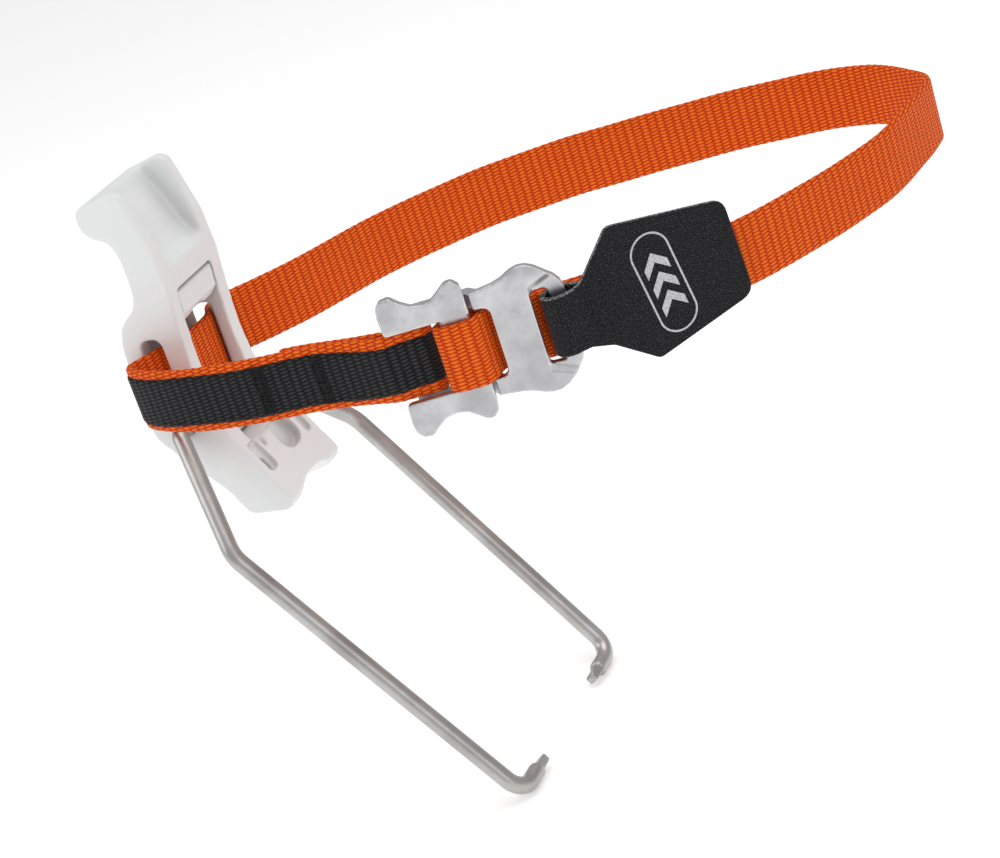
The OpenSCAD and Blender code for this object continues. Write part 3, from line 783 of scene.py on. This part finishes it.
runs = []
for v in (-5.05, 5.05):
    a = u_at(-5)
    end = u_at(-60.5)
    while a < end:
        runs.append([place(a + 1.5 * t, v, 0.40 + 0.13 * math.sin(math.pi * t)) for t in np.linspace(0, 1, 5)])
        a += 1.3 * 2
edge_stitches = tubes("tape_edge_stitching", runs, 0.12, M_THREAD)
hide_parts("tape_stitches")

# the tail's end is tacked; the fold is not built
tail_path = catmull([list(bk(p)) for p in TAIL[-5:]], 12)
tplace, tl = surface(tail_path, -WEB_T / 2, side=1)
runs = []
for i in range(22):
    v = -5.8 + 11.6 * i / 21
    runs.append([tplace(tl - 6.0 + 2.6 * t, v + 0.3 * t, -0.05 - 0.16 * math.sin(math.pi * t)) for t in np.linspace(0, 1, 6)])
tail_st = tubes("tail_tack_stitching", runs, 0.16, M_THREAD)
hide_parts("tail_tack"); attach(tail_st, "lever")

# ------------------------------------------------------------ pull tab
TTURN = math.radians(41)
TT = np.array([-math.sin(TTURN), math.cos(TTURN)])
TN = np.array([math.cos(TTURN), math.sin(TTURN)])
BC = bk([36.9, 1.0])
TAB_T = 1.3


def tab_point(s, y, n):
    q = BC + TT * s + TN * n
    return np.array([q[0], q[1], 101.3 + y + 0.045 * s])


TAB_LEN = 40.0
UP = [[3.2, 6.9], [4.6, 7.3], [6.4, 8.4], [8.2, 10.2], [12.6, 14.4], [13.2, 14.85], [14, 15.2], [14.9, 15.35],
      [15.8, 15.3], [TAB_LEN - 2.6, 11.25], [TAB_LEN - 1.5, 10.8], [TAB_LEN - 0.7, 10.0], [TAB_LEN - 0.25, 8.8], [TAB_LEN - 0.05, 7.2]]
# centre line in section, as (along, out): under layer, round the bar, then the tongue
MID = [(9.2, 1.55), (7.6, 1.42), (6.0, 1.0), (4.4, -0.15), (3.0, -1.7), (1.6, -2.75), (0, -3.15), (-1.7, -2.66),
       (-2.8, -1.44), (-3.15, 0), (-2.75, 1.5), (-1.6, 2.62), (0, 3.02), (1.6, 2.9), (3.2, 2.78)]
band_mid = catmull(MID, 6)


def neck_half(s):
    return 6.75


verts, faces, uvs, ids = [], [], [], []
bn_ = normals2(band_mid)
arc_u = np.concatenate([[0], np.cumsum(np.linalg.norm(np.diff(band_mid, axis=0), axis=1))])
NB = 14
hts = TAB_T / 2 - 0.05
for i in range(len(band_mid)):
    c, nn = band_mid[i], bn_[i]
    hw = 6.75
    sec = []
    for j in range(NB + 1):
        sec.append((hts, (-1 + 2 * j / NB) * (hw - 0.25)))
    sec += [(hts * 0.6, hw), (-hts * 0.6, hw)]
    for j in range(NB + 1):
        sec.append((-hts, (1 - 2 * j / NB) * (hw - 0.25)))
    sec += [(-hts * 0.6, -hw), (hts * 0.6, -hw)]
    for o_, y_ in sec:
        # travel is clockwise round the bar, so the outer face lies to the right
        q = c - nn * (o_ * -1)
        verts.append(tab_point(q[0], y_, q[1]))
        uvs.append((arc_u[i], y_))
m = 2 * (NB + 1) + 4
for i in range(len(band_mid) - 1):
    for j in range(m):
        k = (j + 1) % m
        faces.append((i * m + j, (i + 1) * m + j, (i + 1) * m + k, i * m + k))
        ids.append(1 if j in (NB, NB + 1, NB + 2, 2 * NB + 3, 2 * NB + 4, 2 * NB + 5) else 0)
faces.append(tuple(range(m - 1, -1, -1))); ids.append(1)
faces.append(tuple((len(band_mid) - 1) * m + j for j in range(m))); ids.append(0)
neck = make("tab_neck_loop", verts, faces, [M_KNIT, M_CUT], uvs, ids)
bm = bmesh.new(); bm.from_mesh(neck.data); bmesh.ops.recalc_face_normals(bm, faces=bm.faces); bm.to_mesh(neck.data); bm.free()

# the tongue: layered copies of one rounded outline, each face capped by rings shrinking to its centre
up = catmull(UP, 5)
cols = []
for q in up:
    cols.append((q[0], q[1]))
NR = 30
tongue_mid = 2.75
verts, faces, uvs, ids = [], [], [], []
layers = [(-TAB_T / 2, 0.22), (-TAB_T / 2 + 0.12, 0.06), (-0.2, 0.0), (0.25, 0.0), (TAB_T / 2 - 0.12, 0.05), (TAB_T / 2, 0.22)]
cen = (20.0, 0.0)
ncol = len(cols)
# outline as one closed loop with rounded corners
def rounded(poly, radii):
    out = []
    n = len(poly)
    for i in range(n):
        a, b, c = (np.array(poly[k % n], float) for k in (i - 1, i, i + 1))
        r = radii[i]
        if r == 0:
            out.append(b)
            continue
        u, v = unit(b - a), unit(c - b)
        f = math.acos(np.clip(u @ v, -1, 1))
        t = min(r * math.tan(f / 2), 0.45 * np.linalg.norm(b - a), 0.45 * np.linalg.norm(c - b))
        p0, p1 = b - u * t, b + v * t
        for k in range(9):
            w = k / 8
            out.append((1 - w) ** 2 * p0 + 2 * w * (1 - w) * b + w * w * p1)
    return out


OUTLINE = [(3.0, -6.7), (7.8, -8.4), (16.6, -15.6), (TAB_LEN + 0.3, -10.9), (TAB_LEN - 1.0, 11.1), (13.1, 16.35), (4.6, 7.3), (3.0, 6.8)]
loop_pts = rounded(OUTLINE, [0, 4, 2.0, 3.6, 3.4, 2.4, 3, 0])
loop_pts, _ = resample(np.array(list(loop_pts) + [loop_pts[0]]), 0.45)
loop_pts = loop_pts[:-1]
nl = len(loop_pts)
d = np.roll(loop_pts, -1, 0) - np.roll(loop_pts, 1, 0)
d /= np.linalg.norm(d, axis=1)[:, None]
inw = np.stack([-d[:, 1], d[:, 0]], 1)
for _ in range(3):
    inw = (np.roll(inw, 1, 0) + inw * 2 + np.roll(inw, -1, 0)) / 4
for off_n, inset in layers:
    for i in range(nl):
        q = loop_pts[i] + inw[i] * inset
        verts.append(tab_point(q[0], q[1], tongue_mid + off_n + 0.0016 * (q[0] - 14) ** 1 * 0))
        uvs.append((q[0], q[1]))
for a in range(len(layers) - 1):
    for i in range(nl):
        k = (i + 1) % nl
        faces.append((a * nl + i, a * nl + k, (a + 1) * nl + k, (a + 1) * nl + i))
        ids.append(1 if 0 < a < len(layers) - 2 else 0)
for a, rev in ((0, True), (len(layers) - 1, False)):
    prev = [a * nl + i for i in range(nl)]
    for fr in (0.97, 0.9, 0.78, 0.6, 0.4, 0.2):
        new = []
        for i in range(nl):
            q = np.array(cen) + (loop_pts[i] - np.array(cen)) * fr
            new.append(len(verts))
            bulge = 0.05 * math.sin(q[0] * 0.42 + 0.7) * (1 - fr)
            verts.append(tab_point(q[0], q[1], tongue_mid + layers[a][0] + bulge))
            uvs.append((q[0], q[1]))
        for i in range(nl):
            k = (i + 1) % nl
            f = (prev[i], prev[k], new[k], new[i])
            faces.append(f[::-1] if rev else f); ids.append(0)
        prev = new
    c = len(verts)
    verts.append(tab_point(cen[0], cen[1], tongue_mid + layers[a][0])); uvs.append(cen)
    for i in range(nl):
        k = (i + 1) % nl
        f = (prev[i], prev[k], c)
        faces.append(f[::-1] if rev else f); ids.append(0)
tongue = make("tab_tongue", verts, faces, [M_KNIT, M_CUT], uvs, ids)
bm = bmesh.new(); bm.from_mesh(tongue.data); bmesh.ops.recalc_face_normals(bm, faces=bm.faces); bm.to_mesh(tongue.data); bm.free()
for o in (neck, tongue):
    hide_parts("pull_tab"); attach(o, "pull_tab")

TOP = tongue_mid + TAB_T / 2
runs = []
for s0 in (4.9, 5.7, 6.5, 8.6):
    y = -6.0
    while y < 5.6:
        runs.append([tab_point(s0, y + 1.15 * t, TOP + 0.10 * math.sin(math.pi * t)) for t in np.linspace(0, 1, 5)])
        y += 1.55
sew = tubes("tab_stitching", runs, 0.13, M_GREY_THREAD)
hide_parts("tab_stitches"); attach(sew, "pull_tab")

# a generic printed mark: an oval outline with three plain chevrons
def slab(poly, h0, h1, verts, faces):
    b = len(verts)
    n = len(poly)
    for h in (h0, h1):
        for s, y in poly:
            verts.append(tab_point(s, y, TOP + h))
    faces.append(tuple(b + n + i for i in range(n)))
    faces.append(tuple(b + i for i in range(n - 1, -1, -1)))
    for i in range(n):
        k = (i + 1) % n
        faces.append((b + i, b + k, b + n + k, b + n + i))


def turned(pts, c=(21.8, -0.2), a=math.radians(9)):
    return [(c[0] + x * math.cos(a) - y * math.sin(a), c[1] + x * math.sin(a) + y * math.cos(a)) for x, y in pts]


verts, faces = [], []
HW, HL, W = 4.5, 7.3, 0.42
outer, inner = [], []
for i in range(48):
    t = 2 * math.pi * i / 48
    cy = HL if math.sin(t) >= 0 else -HL
    outer.append((HW * math.cos(t), cy + HW * math.sin(t)))
    inner.append(((HW - W) * math.cos(t), cy + (HW - W) * math.sin(t)))
outer, inner = turned(outer), turned(inner)
for i in range(48):
    k = (i + 1) % 48
    slab([outer[i], outer[k], inner[k], inner[i]], -0.03, 0.06, verts, faces)
for y0 in (-5.2, -0.6, 4.0):
    slab(turned([(-2.8, y0 - 1.9), (0, y0 + 1.0), (2.8, y0 - 1.9), (2.8, y0 + 0.4), (0, y0 + 3.3), (-2.8, y0 + 0.4)]),
         -0.03, 0.06, verts, faces)
mark = tidy(make("tab_print", verts, faces, [M_PRINT], [(v[1], v[2]) for v in verts], smooth=False))
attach(mark, "pull_tab")

# ------------------------------------------------------------ fabric across the buckle's hinge
for o in (near, tape, tack_a, tack_b, edge_stitches):
    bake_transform(o)

# CAD nodes that are all replaced keep a finish too
for n, mt in (("wire_bail", M_STEEL), ("lever_body", M_WHITE), ("wire_keeper", M_KEEPER), ("ankle_strap", M_ORANGE),
              ("end_loop", M_ORANGE), ("strap_tail", M_ORANGE), ("strap_tape", M_BLACK), ("slider_plate", M_ALU),
              ("buckle_frame", M_ALU), ("pull_tab", M_KNIT), ("loop_tacks", M_THREAD), ("tail_tack", M_THREAD),
              ("tab_stitches", M_GREY_THREAD), ("tape_stitches", M_THREAD)):
    nodes[n].data.materials.clear()
    nodes[n].data.materials.append(mt)

# ------------------------------------------------------------ floor, light and camera
floor = make("floor", [(-4000, -4000, -2.15), (4000, -4000, -2.15), (4000, 4000, -2.15), (-4000, 4000, -2.15)],
             [(0, 1, 2, 3)], [], smooth=False)
mf = Mat("floor_pale")
mf.p.inputs["Base Color"].default_value = (0.93, 0.93, 0.93, 1)
mf.p.inputs["Roughness"].default_value = 0.9
mf.p.inputs["Specular IOR Level"].default_value = 0.0
mf.p.inputs["Emission Color"].default_value = (1, 1, 1, 1)
mf.p.inputs["Emission Strength"].default_value = 0.34
floor.data.materials.append(mf.m)

world = bpy.data.worlds.new("studio")
bpy.context.scene.world = world
world.use_nodes = True
world.node_tree.nodes["Background"].inputs[0].default_value = (1, 1, 1, 1)
world.node_tree.nodes["Background"].inputs[1].default_value = 0.5


def area(name, loc, aim, size, power):
    d = bpy.data.lights.new(name, "AREA")
    d.shape = "RECTANGLE"
    d.size, d.size_y = size
    d.energy = power
    o = bpy.data.objects.new(name, d)
    o.location = loc
    o.rotation_mode = "QUATERNION"
    o.rotation_quaternion = (Vector(aim) - Vector(loc)).to_track_quat("-Z", "Y")
    bpy.context.scene.collection.objects.link(o)


AIM = (-0.02, 0.0, 0.08)
area("softbox_top", (-0.1, 0.1, 0.95), AIM, (0.8, 0.8), 3.0)
area("softbox_left", (0.45, -0.75, 0.55), AIM, (0.6, 0.6), 1.6)
area("softbox_right", (0.55, 0.75, 0.5), AIM, (0.5, 0.6), 1.0)

cam_data = bpy.data.cameras.new("camera")
cam = bpy.data.objects.new("camera", cam_data)
bpy.context.scene.collection.objects.link(cam)
cx = Vector((-0.3633, 0.8854, -0.2899)).normalized()
cz = Vector((0.8014, 0.4557, 0.3875)).normalized()
cy = cz.cross(cx).normalized()
cx = cy.cross(cz).normalized()
rot = Matrix((cx, cy, cz)).transposed()
cam.matrix_world = Matrix.Translation((0.4367, 0.2552, 0.2867)) @ rot.to_4x4()
cam_data.sensor_fit = "HORIZONTAL"
cam_data.sensor_width = 36
cam_data.lens = 90
cam_data.clip_start, cam_data.clip_end = 0.01, 20
bpy.context.scene.camera = cam
bpy.context.scene.view_settings.view_transform = "Standard"
